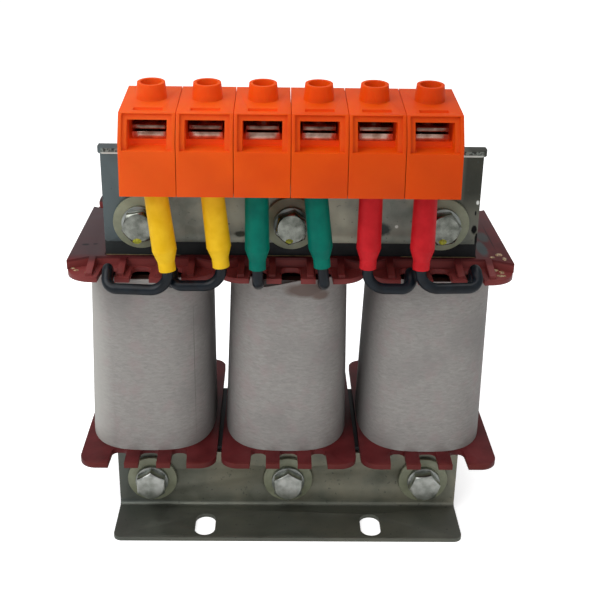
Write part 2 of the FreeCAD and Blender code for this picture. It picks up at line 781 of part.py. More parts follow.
def terminal_housing(label):
    body = pattern_body(label)
    profile = face_sketch(body, "side_profile", "YZ_Plane")
    under_lip = "lip_low - lip_slot_gap"
    under_back = "top_face + bracket_gap"
    outline(profile, [
        ("-(block_front)", "block_floor"),
        (f"-({under_back})", "block_floor"),
        (f"-({under_back})", f"{under_lip} - under_lip_chamfer"),
        (f"-({under_back} + under_lip_chamfer)", under_lip),
        ("-(lip_front + lip_gap)", under_lip),
        ("-(lip_front + lip_gap)", "lip_top"),
        ("-(block_rear)", "lip_top"),
        ("-(block_rear)", "roof_back"),
        ("-(brow_front)", "roof_front"),
        ("-(knee_front)", "knee_height")])
    pad(body, "block", profile, "terminal_width", symmetric=True)
    collar = body.newObject("PartDesign::AdditiveCone", "collar")
    bind(collar, "Radius1", "collar_base_diameter / 2")
    bind(collar, "Radius2", "collar_diameter / 2")
    bind(collar, "Height", "collar_height + collar_root")
    lean_on_roof(collar, "collar_root")
    cuts = [
        ("window_frame", "frame_width", [("block_front + cut_margin", "sill"), ("frame_back", "sill"),
                                         ("frame_back", "knee_height"), ("frame_head", "frame_top"),
                                         ("block_front + cut_margin", "frame_top")]),
        ("wire_window", "wire_window_width", [("block_front + cut_margin", "sill"),
                                              ("chamber_front", "sill"),
                                              ("chamber_front", "wire_window_top"),
                                              ("block_front + cut_margin", "wire_window_top")]),
        ("chamber", "chamber_width", [("chamber_front", "bar_low"), ("chamber_back", "bar_low"),
                                      ("chamber_back", "chamber_top"), ("chamber_front", "chamber_top")])]
    for name, width, corners in cuts:
        sketch = face_sketch(body, name + "_outline", "YZ_Plane")
        outline(sketch, [(f"-({y})", z) for y, z in corners])
        pocket(body, name, sketch, width, symmetric=True)
    driver = body.newObject("PartDesign::SubtractiveCylinder", "driver_hole")
    bind(driver, "Radius", "driver_hole / 2")
    bind(driver, "Height", "collar_height + driver_depth + cut_margin")
    lean_on_roof(driver, "driver_depth")
    holes = [("sleeve_hole", "block_floor", "sleeve_axis_depth", "sleeve_hole_width", "sleeve_hole_length",
              "sleeve_hole_rise"),
             ("tail_hole", "sleeve_hole_top", "sleeve_axis_depth - tail_hole_shift", "tail_hole_width",
              "tail_hole_length", "bar_low - sleeve_hole_top")]
    for name, low, depth, width, length, rise in holes:
        sketch = face_sketch(body, name + "_outline", "XY_Plane", low)
        rectangle(sketch, f"-{width} / 2", f"{width} / 2", f"-({depth}) - {length} / 2",
                  f"-({depth}) + {length} / 2")
        pocket(body, name, sketch, rise, reversed_way=True)
    label_slot = face_sketch(body, "label_slot_outline", "XY_Plane", "roof_back")
    label_front = "block_front - label_setback"
    rectangle(label_slot, "-label_width / 2", "label_width / 2", f"-({label_front})",
              f"-({label_front} - label_length)")
    pocket(body, "label_slot", label_slot, "roof_rise + label_depth")
    return body


# Routes of the six leads, in the order of the terminals. The places across are measured from the
# terminal ("top" and "low", the ends of the sleeve's axis) and from the flange slot ("front" and
# "arch"), the reaches forward from the flange's front edge and the rises from its underside.
ROUTES = {
    1: {"top": 0.7, "low": 4.0, "reach": 6.1, "end": 6.9, "turn": 0.0,
        "front": (0.9, 5.3, 0.2), "arch": 0.7, "slot": "-coil_pitch - slot_centre"},
    2: {"top": 1.2, "low": 3.9, "reach": 4.3, "end": 7.8, "turn": 1.0,
        "front": (0.5, 4.2, 0.8), "arch": 0.3, "slot": "-coil_pitch + slot_centre"},
    3: {"top": -1.9, "low": -1.6, "reach": 4.3, "end": 7.1, "slot": "-slot_centre"},
    4: {"top": -0.8, "low": 2.1, "reach": 4.3, "end": 8.0, "slot": "slot_centre"},
    5: {"top": -0.4, "low": -0.4, "reach": 4.3, "end": 7.7, "turn": 0.4,
        "front": (0.0, 4.5, 0.4), "arch": 0.0, "slot": "coil_pitch - slot_centre"},
    6: {"top": -0.4, "low": -0.6, "reach": 5.8, "end": 8.0, "turn": 1.2,
        "front": (0.4, 5.0, 1.2), "arch": -0.6, "slot": "coil_pitch + slot_centre"},
}

housing = terminal_housing("terminal_housing")
for number in ROUTES:
    placed(f"terminal_housing_{number}", housing, terminal_place(number))


def sleeve_axis(number):
    """The sleeve's lower end and the direction from there up to its terminal."""
    route = ROUTES[number]
    place = value(terminal_place(number))
    low = Vector(place + route["low"], -value("flange_front") - route["reach"],
                 value("winding_top") + route["end"])
    high = Vector(place + route["top"], -value("sleeve_axis_depth"), value("block_floor"))
    return low, (high - low).normalize()


def on_axis(number, height):
    """The point of the sleeve's axis at a height."""
    low, direction = sleeve_axis(number)
    return low + direction * ((height - low.z) / direction.z)


def axis_cylinder(name, number, low, high, diameter):
    """A cylinder along the sleeve's axis between two heights."""
    start = on_axis(number, value(low))
    end = on_axis(number, value(high))
    cylinder = document.addObject("Part::Cylinder", name)
    bind(cylinder, "Radius", f"({diameter}) / 2")
    cylinder.Height = start.distanceToPoint(end)
    cylinder.Placement = Placement(start, Rotation(Vector(0, 0, 1), sleeve_axis(number)[1]))
    return cylinder


def upright(name, place, low, high, diameter):
    """A cylinder on the axis of a terminal's collar."""
    cylinder = document.addObject("Part::Cylinder", name)
    bind(cylinder, "Radius", f"({diameter}) / 2")
    bind(cylinder, "Height", f"{high} - ({low})")
    bind(cylinder, "Placement.Base.x", place)
    bind(cylinder, "Placement.Base.y", "-(screw_axis)")
    bind(cylinder, "Placement.Base.z", low)
    return cylinder


def cut(name, base, tool):
    piece = document.addObject("Part::Cut", name)
    piece.Base = base
    piece.Tool = tool
    return piece


def fuse(name, *members):
    piece = document.addObject("Part::MultiFuse", name)
    piece.Shapes = list(members)
    return piece


clamp_plates = []
contact_bars = []
clamp_screws = []
for number in ROUTES:
    place = terminal_place(number)
    plate = box(f"plate_{number}", f"{place} - clamp_width / 2", "-(bar_front)", "clamp_low",
                "clamp_width", "bar_length", "clamp_thickness")
    plate_hole = upright(f"plate_hole_{number}", place, "clamp_low - cut_margin", "head_low + cut_margin",
                         "screw_diameter + clamp_hole_gap")
    clamp_plates.append(cut(f"clamp_plate_{number}", plate, plate_hole))
    bar = box(f"bar_{number}", f"{place} - bar_width / 2", "-(bar_front)", "bar_low",
              "bar_width", "bar_length", "bar_thickness")
    tail = axis_cylinder(f"tail_{number}", number, "barrel_top - join_depth", "bar_low + join_depth",
                         "tail_diameter")
    barrel = axis_cylinder(f"barrel_{number}", number, "barrel_low", "barrel_top", "barrel_diameter")
    bore = axis_cylinder(f"barrel_bore_{number}", number, "barrel_low - cut_margin",
                         "barrel_top - barrel_floor", "lead_diameter + 2 * barrel_gap")
    thread = upright(f"thread_{number}", place, "bar_low - cut_margin", "bar_top + cut_margin",
                     "screw_diameter + screw_bore_gap")
    contact = fuse(f"contact_blank_{number}", bar, tail, barrel)
    contact_bars.append(cut(f"contact_{number}", cut(f"contact_bored_{number}", contact, bore), thread))
    head = upright(f"screw_head_{number}", place, "head_low", "head_low + screw_head_height",
                   "screw_head_diameter")
    shank = upright(f"screw_shank_{number}", place, "bar_low", "head_low + join_depth", "screw_diameter")
    slot = box(f"screw_slot_{number}", f"{place} - screw_head_diameter",
               "-(screw_axis + screw_slot_width / 2)", "head_low + screw_head_height - screw_slot_depth",
               "2 * screw_head_diameter", "screw_slot_width", "2 * screw_slot_depth")
    clamp_screws.append(cut(f"clamp_screw_{number}", fuse(f"screw_{number}", head, shank), slot))
group("clamp_plates", clamp_plates)
group("contact_bars", contact_bars)
group("clamp_screws", clamp_screws)


# Sleeves and leads

def sleeve(number):
    """Turn a stepped sleeve about its axis: tight on the lead below, round the crimp barrel above."""
    low, direction = sleeve_axis(number)
    body = solid_body(f"sleeve_{number}")
    profile = face_sketch(body, "half_profile", "XZ_Plane")
    slope = direction.z
    small = "sleeve_low_diameter / 2"
    shoulder = "sleeve_shoulder_diameter / 2"
    large = "sleeve_diameter / 2"
    tight = "lead_diameter / 2 + sleeve_gap"
    wide = "barrel_diameter / 2 + sleeve_gap"
    low_end = f"winding_top + {ROUTES[number]['end']}"
    step_low = f"sleeve_step_rise / {slope}"
    step_high = f"(sleeve_step_rise + sleeve_step) / {slope}"
    widening = f"(barrel_low - ({low_end}) - sleeve_barrel_gap) / {slope}"
    end = f"(sleeve_top - ({low_end})) / {slope}"
    outline(profile, [(tight, "0"), (small, "0"), (small, step_low), (shoulder, step_high), (large, end),
                      (wide, end), (wide, widening), (tight, f"{widening} - sleeve_inner_step")])
    turned = body.newObject("PartDesign::Revolution", "sleeve")
    turned.Profile = profile
    turned.ReferenceAxis = (profile, ["V_Axis"])
    turned.Angle = 360
    body.Placement = Placement(low, Rotation(Vector(0, 0, 1), direction))


def rounded_path(points, radii):
    """Join straight runs with tangent arcs, one at each inner point."""
    edges = []
    start = points[0]
    for number, radius in enumerate(radii, start=1):
        corner = points[number]
        back = (points[number - 1] - corner).normalize()
        ahead = (points[number + 1] - corner).normalize()
        half_angle = back.getAngle(ahead) / 2
        setback = radius / math.tan(half_angle)
        middle = (back + ahead).normalize() * (radius / math.sin(half_angle) - radius)
        arc_start = corner + back * setback
        arc_end = corner + ahead * setback
        edges.append(Part.LineSegment(start, arc_start).toShape())
        edges.append(Part.Arc(arc_start, corner + middle, arc_end).toShape())
        start = arc_end
    edges.append(Part.LineSegment(start, points[-1]).toShape())
    return Part.Wire(edges)


def lead(number):
    """Lay an insulated lead from its crimp barrel through the flange slot to the coil."""
    route = ROUTES[number]
    radius = value("lead_diameter") / 2
    entry = value("lead_entry")
    surface = value("winding_face")
    under = value("winding_top")
    slot_place = value(route["slot"])
    points = [on_axis(number, value("barrel_top - barrel_floor"))]
    if "turn" in route:
        across, reach, rise = route["front"]
        front = Vector(slot_place + across, -value("flange_front") - reach, under + rise)
        arch_y = -surface - value("lead_arch_reach")
        points.append(on_axis(number, under + route["turn"]))
        points.append(front)
        points.append(Vector(slot_place + route["arch"], arch_y, front.z + arch_y - front.y))
        points.append(Vector(slot_place, -surface - value("lead_entry_reach"), entry))
        bends = ["lead_side_bend", "lead_front_bend", "lead_arch_bend", "lead_entry_bend"]
    else:
        points.append(on_axis(number, value("winding_top + short_lead_turn")))
        points.append(Vector(slot_place, -surface - value("short_lead_reach"), entry))
        bends = ["short_lead_bend", "short_lead_bend"]
    points.append(Vector(slot_place, -surface - value("lead_end_gap"), entry))
    radii = [value(bend) for bend in bends]
    path = rounded_path(points, radii)
    print(f"lead_{number}: length {path.Length:.1f}, radii {radii}")
    direction = (points[1] - points[0]).normalize()
    section = Part.Wire(Part.Circle(points[0], direction, radius).toShape())
    tube = path.makePipeShell([section], True, True)
    if abs(tube.Volume / (math.pi * radius ** 2 * path.Length) - 1) > 0.01:
        raise ValueError(f"lead_{number}: the tube's volume doesn't match its length")
    piece = document.addObject("Part::Feature", f"lead_{number}")
    piece.Label = f"lead_{number}"
    piece.Shape = tube
    piece.Placement = Placement()
    pieces.append(piece)


for number in ROUTES:
    sleeve(number)
for number in ROUTES:
    lead(number)

document.recompute()

for item in document.Objects:
    if "Invalid" in item.State or "Error" in item.State:
        raise ValueError(f"{item.Label} failed: {item.State}")
for piece in pieces:
    if piece.Shape.isNull() or not piece.Shape.isValid():
        raise ValueError(f"{piece.Label} has no valid shape")

os.makedirs("parts", exist_ok=True)
for piece in pieces:
    piece.Shape.exportStep(f"parts/{piece.Label}.step")
    bounds = piece.Shape.BoundBox
    print(f"{piece.Label}: {len(piece.Shape.Solids)} solids, {piece.Shape.Volume:.0f} mm3, "
          f"z {bounds.ZMin:.2f} to {bounds.ZMax:.2f}")
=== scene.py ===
import json
import math

import bpy
from mathutils import Matrix, Vector


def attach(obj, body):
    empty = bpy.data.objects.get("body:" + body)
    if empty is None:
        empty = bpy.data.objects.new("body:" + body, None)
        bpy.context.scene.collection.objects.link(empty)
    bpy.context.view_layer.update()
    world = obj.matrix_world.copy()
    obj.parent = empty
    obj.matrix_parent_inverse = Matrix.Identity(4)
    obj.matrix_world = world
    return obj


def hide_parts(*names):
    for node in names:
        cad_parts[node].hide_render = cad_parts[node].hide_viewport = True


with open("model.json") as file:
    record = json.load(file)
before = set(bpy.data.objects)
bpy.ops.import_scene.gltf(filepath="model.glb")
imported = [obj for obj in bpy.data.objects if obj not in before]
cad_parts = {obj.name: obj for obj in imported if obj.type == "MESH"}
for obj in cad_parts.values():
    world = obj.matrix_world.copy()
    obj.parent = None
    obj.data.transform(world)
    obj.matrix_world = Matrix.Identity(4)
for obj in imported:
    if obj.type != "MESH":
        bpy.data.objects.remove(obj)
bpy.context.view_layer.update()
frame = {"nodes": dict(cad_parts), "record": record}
nodes = frame["nodes"]
scene = bpy.context.scene
MM = 0.001


# Camera at the photograph's viewing angle

def aim_camera():
    place = Vector((-4.95, -354.2, 227.3)) * MM
    yaw = math.radians(0.863)
    pitch = math.radians(23.592)
    roll = math.radians(0.797)
    forward = Vector((math.sin(yaw) * math.cos(pitch), math.cos(yaw) * math.cos(pitch), -math.sin(pitch)))
    right = Vector((math.cos(yaw), -math.sin(yaw), 0))
    up = right.cross(forward)
    turned_right = right * math.cos(roll) + up * math.sin(roll)
    turned_up = up * math.cos(roll) - right * math.sin(roll)
    camera = bpy.data.objects.new("camera", bpy.data.cameras.new("camera"))
    scene.collection.objects.link(camera)
    axes = Matrix((turned_right, turned_up, -forward)).transposed()
    camera.matrix_world = Matrix.Translation(place) @ axes.to_4x4()
    camera.data.sensor_width = 36
    camera.data.lens = 62.84
    camera.data.shift_x = 0.0160
    camera.data.shift_y = 0.0082
    camera.data.clip_start = 0.01
    scene.camera = camera


aim_camera()
scene.view_settings.view_transform = "Standard"


# Materials

def colour(hex_text):
    """Turn an sRGB hex colour to linear."""
    parts = [int(hex_text[i:i + 2], 16) / 255 for i in (1, 3, 5)]
    linear = [p / 12.92 if p <= 0.04045 else ((p + 0.055) / 1.055) ** 2.4 for p in parts]
    return (*linear, 1.0)


def per(size_mm):
    """The texture scale that repeats about once in a size in millimetres."""
    return 1000 / size_mm


def add(tree, kind, settings=None, links=None):
    """Add a node, set its properties and inputs, and link its inputs from other nodes' outputs."""
    node = tree.nodes.new(kind)
    for name, number in (settings or {}).items():
        if isinstance(name, str) and hasattr(node, name):
            setattr(node, name, number)
        else:
            node.inputs[name].default_value = number
    for name, source in (links or {}).items():
        tree.links.new(source, node.inputs[name])
    return node


def start_material(name, **shader):
    """Start a material whose constants are set on the shader's own sockets."""
    material = bpy.data.materials.new(name)
    material.use_nodes = True
    tree = material.node_tree
    surface = tree.nodes["Principled BSDF"]
    for socket, number in shader.items():
        surface.inputs[socket.replace("_", " ")].default_value = number
    place = add(tree, "ShaderNodeTexCoord").outputs["Object"]
    return material, tree, surface, place


def blend_colours(tree, factor, low, high, low_at=0.35, high_at=0.65):
    """Run between two sRGB colours over a pattern's middle range."""
    ramp = add(tree, "ShaderNodeValToRGB", links={"Fac": factor})
    ramp.color_ramp.elements[0].position = low_at
    ramp.color_ramp.elements[0].color = colour(low)
    ramp.color_ramp.elements[1].position = high_at
    ramp.color_ramp.elements[1].color = colour(high)
    return ramp.outputs["Color"]


def scaled(tree, place, centre, size):
    """Measure from a centre in units of a size, both in millimetres."""
    middle = [number * MM for number in centre]
    unit = [number * MM for number in size]
    away = add(tree, "ShaderNodeVectorMath", {"operation": "SUBTRACT", 1: middle}, {0: place})
    ratio = add(tree, "ShaderNodeVectorMath", {"operation": "DIVIDE", 1: unit}, {0: away.outputs["Vector"]})
    return ratio.outputs["Vector"]


SPOT_SOFTNESS = 0.25


def spot(tree, place, centre, size, ragged=0.5, grain=1.5):
    """A ragged patch: 1 inside an ellipsoid and 0 outside."""
    length = add(tree, "ShaderNodeVectorMath", {"operation": "LENGTH"},
                 {0: scaled(tree, place, centre, size)})
    noise = add(tree, "ShaderNodeTexNoise", {"Scale": per(grain), "Detail": 3.0}, {"Vector": place})
    uneven = add(tree, "ShaderNodeMath", {"operation": "MULTIPLY_ADD", 1: ragged},
                 {0: noise.outputs["Fac"], 2: length.outputs["Value"]})
    edge = 1 + ragged / 2
    limits = {"From Min": edge - SPOT_SOFTNESS, "From Max": edge + SPOT_SOFTNESS,
              "To Min": 1.0, "To Max": 0.0}
    mask = add(tree, "ShaderNodeMapRange", limits, {"Value": uneven.outputs["Value"]})
    return mask.outputs["Result"]


def ramp_along(tree, place, axis, start, end):
    """A mask that rises from 0 to 1 between two places in millimetres along one axis."""
    parts = add(tree, "ShaderNodeSeparateXYZ", links={"Vector": place})
    mask = add(tree, "ShaderNodeMapRange", {"From Min": start * MM, "From Max": end * MM},
               {"Value": parts.outputs[axis]})
    return mask.outputs["Result"]


def times(tree, first, second):
    """Multiply two masks, or a mask by a number."""
    if isinstance(second, float):
        product = add(tree, "ShaderNodeMath", {"operation": "MULTIPLY", 1: second}, {0: first})
    else:
        product = add(tree, "ShaderNodeMath", {"operation": "MULTIPLY"}, {0: first, 1: second})
    return product.outputs["Value"]


def zone(tree, place, *ramps):
    """A mask that is 1 where every ramp has risen, each given as an axis and two places in millimetres."""
    mask = ramp_along(tree, place, *ramps[0])
    for ramp in ramps[1:]:
        mask = times(tree, mask, ramp_along(tree, place, *ramp))
    return mask


def cover(tree, base, mask, hex_text):
    """Lay an sRGB colour over a base where a mask is 1."""
    mix = add(tree, "ShaderNodeMix", {"data_type": "RGBA", "blend_type": "MIX"})
    tree.links.new(mask, mix.inputs[0])
    tree.links.new(base, mix.inputs[6])
    mix.inputs[7].default_value = colour(hex_text)
    return mix.outputs[2]


def roughen(tree, surface, height, strength, depth_mm):
    """Drive the surface's bump from a pattern."""
    bump = add(tree, "ShaderNodeBump", {"Strength": strength, "Distance": depth_mm * MM}, {"Height": height})
    tree.links.new(bump.outputs["Normal"], surface.inputs["Normal"])


# Where painted light pales the orange, where painted shade deepens it, and where a painted glow stands in
# for the light that reaches the chambers from inside
PAINTED_LIGHT_END = ("X", 0.0, -52.0)
PAINTED_SHADE_END = ("X", -6.0, 40.0)
CHAMBERS = (("Y", -46.5, -43.5), ("Y", -34.0, -36.0), ("Z", 141.5, 143.5), ("Z", 155.5, 154.0))
COLLARS = ("Z", 156.4, 157.4)
CHAMBER_PAINTED_GLOW = 0.16
COLLAR_PAINTED_GLOW = 0.07


# Moulded polyamide: saturated orange with a satin skin, a little translucent, with painted light making it
# paler to the left
def moulded_orange():
    material, tree, surface, place = start_material("moulded_orange_polyamide", Roughness=0.48, IOR=1.5,
                                                    Specular_IOR_Level=0.16, Subsurface_Weight=0.25,
                                                    Subsurface_Scale=1.6 * MM)
    surface.inputs["Subsurface Radius"].default_value = (1.0, 0.25, 0.08)
    cloud = add(tree, "ShaderNodeTexNoise", {"Scale": per(14), "Detail": 3.0}, {"Vector": place})
    tint = blend_colours(tree, cloud.outputs["Fac"], "#e04a00", "#ea5400")
    # Painted light pales the left end and painted shade deepens the right, as the light falls from the left
    tint = cover(tree, tint, times(tree, zone(tree, place, PAINTED_LIGHT_END), 0.6), "#f26220")
    tint = cover(tree, tint, times(tree, zone(tree, place, PAINTED_SHADE_END), 0.7), "#cc4200")
    tree.links.new(tint, surface.inputs["Base Color"])
    grain = add(tree, "ShaderNodeTexNoise", {"Scale": per(0.5), "Detail": 2.0}, {"Vector": place})
    roughen(tree, surface, grain.outputs["Fac"], 0.12, 0.05)
    # Painted glow: emission stands in for the daylight that comes through the thin walls into the chambers
    # and the collars
    inside = zone(tree, place, *CHAMBERS)
    collars = times(tree, zone(tree, place, COLLARS), COLLAR_PAINTED_GLOW)
    glow = add(tree, "ShaderNodeMath", {"operation": "MULTIPLY_ADD", 1: CHAMBER_PAINTED_GLOW},
               {0: inside, 2: collars})
    surface.inputs["Emission Color"].default_value = colour("#e23a10")
    tree.links.new(glow.outputs["Value"], surface.inputs["Emission Strength"])
    return material


# Painted sheen in two greyish patches, and a scratch and dark specks, on the outer decks of the flanges:
# centre, half size and colour
DECK_SHEEN_AND_MARKS = [
    # The first two are greyish patches of painted sheen on the right end
    ((68.6, -2.2, 100.6), (2.0, 5.0, 1.0), "#4a4a4a"),
    ((66.2, -14.0, 100.6), (1.8, 7.0, 1.0), "#4c5456"),
    ((70.8, -1.5, 100.6), (0.25, 13.0, 1.0), "#37181b"),
    ((-70.9, -13.2, 100.6), (1.2, 0.9, 1.0), "#262124"),
    ((-67.6, -12.6, 100.6), (0.8, 0.7, 1.0), "#2b2427"),
]


# The top flanges' upper sides and their left end, where greyish sheen is painted, the lower flanges' fronts
# and the top flanges' rims
SHEEN_DECK = (("Z", 99.4, 100.2), ("Y", -27.5, -22.0))
SHEEN_LEFT_END = ("X", -60.0, -66.0)
LOW_FRONT = (("Z", 40.0, 28.0), ("Y", -36.0, -37.6))
TOP_RIM = (("Z", 90.0, 93.0), ("Z", 100.2, 99.6))


# Phenolic bobbin moulding: dark oxblood red, satin, with painted greyish sheen on the upper sides of the
# flanges, and dark scratches and specks
def moulded_oxblood():
    material, tree, surface, place = start_material("moulded_oxblood_phenolic", Roughness=0.42, IOR=1.5,
                                                    Specular_IOR_Level=0.18)
    cloud = add(tree, "ShaderNodeTexNoise", {"Scale": per(9), "Detail": 5.0}, {"Vector": place})
    tint = blend_colours(tree, cloud.outputs["Fac"], "#50191b", "#652527")
    # Painted sheen: a faint greyish sheen on the top flanges' upper sides, stronger at the left end
    deck_sheen = zone(tree, place, *SHEEN_DECK)
    tint = cover(tree, tint, times(tree, deck_sheen, 0.1), "#5e4a4a")
    left_end_sheen = times(tree, deck_sheen, zone(tree, place, SHEEN_LEFT_END))
    tint = cover(tree, tint, times(tree, left_end_sheen, 0.75), "#4a4144")
    tint = cover(tree, tint, times(tree, zone(tree, place, *LOW_FRONT), 0.5), "#6a2c26")
    tint = cover(tree, tint, times(tree, zone(tree, place, *TOP_RIM), 0.8), "#843c3a")
    for centre, size, shade in DECK_SHEEN_AND_MARKS:
        tint = cover(tree, tint, spot(tree, place, centre, size), shade)
    tree.links.new(tint, surface.inputs["Base Color"])
    rough = add(tree, "ShaderNodeMapRange", {"To Min": 0.32, "To Max": 0.5}, {"Value": cloud.outputs["Fac"]})
    tree.links.new(rough.outputs["Result"], surface.inputs["Roughness"])
    grain = add(tree, "ShaderNodeTexNoise", {"Scale": per(0.8), "Detail": 3.0}, {"Vector": place})
    roughen(tree, surface, grain.outputs["Fac"], 0.15, 0.08)
    return material


# Stains and small cracks in the tape: coil, centre, half size and colour
TAPE_MARKS = [
    ("centre", (5.5, -29.0, 90.6), (7.0, 4.0, 2.6), "#6d5f59"),
    ("centre", (11.0, -29.0, 88.2), (3.5, 4.0, 1.6), "#75665f"),
    ("right", (27.1, -29.0, 90.2), (0.45, 6.0, 1.6), "#2c2a2b"),
    ("right", (28.2, -29.0, 92.2), (0.5, 6.0, 0.9), "#2f2d2e"),
    ("left", (-33.4, -29.0, 60.0), (0.16, 6.0, 34.0), "#6f6a69"),
]


COIL_PITCH = 50.0
COIL_PLACES = {"left": -COIL_PITCH, "centre": 0.0, "right": COIL_PITCH}
TAPE_SLANT = {"left": 0.02, "centre": -0.06, "right": 0.05}
# From how far off a coil's middle painted shade darkens its sides, and where painted light falls on the left
# coil's outer side
SIDE_SHADE_SPAN = (16.5, 22.5)
PAINTED_LIT_SIDE = ("X", -62.0, -69.0)


# Varnished nonwoven tape: grey, with short fibres that run slantwise round the coil and pinkish clouds
def fibre_tape(side):
    material, tree, surface, place = start_material("fibre_tape_" + side, Roughness=0.62,
                                                    Specular_IOR_Level=0.35)
    turned = add(tree, "ShaderNodeMapping", {"Rotation": (0, TAPE_SLANT[side], 0)}, {"Vector": place})
    along = add(tree, "ShaderNodeMapping", {"Scale": (per(2.6), per(2.6), per(0.8))},
                {"Vector": turned.outputs["Vector"]})
    fibres = add(tree, "ShaderNodeTexNoise",
                 {"Scale": 1.0, "Detail": 9.0, "Roughness": 0.7, "Distortion": 0.8},
                 {"Vector": along.outputs["Vector"]})
    tint = blend_colours(tree, fibres.outputs["Fac"], "#8c8986", "#a5a29e", 0.3, 0.7)
    cloud = add(tree, "ShaderNodeTexNoise", {"Scale": per(7), "Detail": 6.0, "Roughness": 0.65},
                {"Vector": place})
    pink = add(tree, "ShaderNodeMapRange", {"From Min": 0.5, "From Max": 0.72, "To Max": 0.55},
               {"Value": cloud.outputs["Fac"]})
    tint = cover(tree, tint, pink.outputs["Result"], "#a08e8e")
    broad = add(tree, "ShaderNodeTexNoise", {"Scale": per(20), "Detail": 3.0}, {"Vector": place})
    dim = add(tree, "ShaderNodeMapRange", {"From Min": 0.5, "From Max": 0.75, "To Max": 0.55},
              {"Value": broad.outputs["Fac"]})
    tint = cover(tree, tint, dim.outputs["Result"], "#7f7c7a")
    parts = add(tree, "ShaderNodeSeparateXYZ", links={"Vector": place})
    sideways = add(tree, "ShaderNodeMath", {"operation": "SUBTRACT", 1: COIL_PLACES[side] * MM},
                   {0: parts.outputs["X"]})
    outward = add(tree, "ShaderNodeMath", {"operation": "ABSOLUTE"}, {0: sideways.outputs["Value"]})
    # Painted shade on the sides that turn away from the light
    start, end = SIDE_SHADE_SPAN
    limits = {"From Min": start * MM, "From Max": end * MM, "To Max": 0.45}
    painted_side_shade = add(tree, "ShaderNodeMapRange", limits, {"Value": outward.outputs["Value"]})
    tint = cover(tree, tint, painted_side_shade.outputs["Result"], "#747273")
    # Painted light on the left coil's outer side
    if side == "left":
        tint = cover(tree, tint, times(tree, zone(tree, place, PAINTED_LIT_SIDE), 0.6), "#c6c5bf")
    for coil, centre, size, shade in TAPE_MARKS:
        if coil == side:
            tint = cover(tree, tint, spot(tree, place, centre, size, ragged=0.4, grain=2.5), shade)
    tree.links.new(tint, surface.inputs["Base Color"])
    roughen(tree, surface, fibres.outputs["Fac"], 0.25, 0.1)
    return material


# Black marks and small bright spots on the top bracket: centre, half size and colour
BRACKET_MARKS = [
    ((60.9, -24.5, 111.2), (0.9, 3.0, 1.6), "#0d0d0e"),
    ((61.9, -24.5, 107.6), (0.5, 3.0, 2.6), "#121213"),
    ((61.0, -24.5, 117.0), (0.3, 3.0, 0.8), "#1d1e1e"),
    ((61.4, -24.5, 120.6), (0.5, 3.0, 0.7), "#e3e5df"),
    ((-22.0, -24.5, 112.5), (1.4, 3.0, 0.4), "#43463f"),
    ((-17.0, -24.5, 109.0), (1.8, 3.0, 1.0), "#4a4d44"),
    ((30.0, -24.5, 111.0), (3.0, 3.0, 2.2), "#3f4645"),
    ((35.0, -24.5, 112.0), (0.5, 3.0, 0.5), "#dfe2db"),
]


# The sheet's warm middle, bluish left end, right end darkened by painted shade, foot darkened by painted
# shade, and wall above the foot
WARM_MIDDLE = ("X", -44.0, -26.0)
BLUISH_END = ("X", -38.0, -58.0)
SHADED_RIGHT_END = (("X", 50.0, 57.0), ("Z", 98.0, 124.0))
SHADED_FOOT = ("Z", 3.4, 1.7)
FOOT_WALL = (("Z", 26.0, 23.0), ("Z", 1.7, 4.0))
# The top lip's sheared front and the bright burr along its lower edge
LIP_FACE = (("Y", -30.3, -30.7), ("Z", 138.2, 138.5), ("Z", 139.7, 139.4))
LIP_BURR = (("Y", -30.3, -30.7), ("Z", 138.4, 138.1), ("Z", 137.0, 137.2))


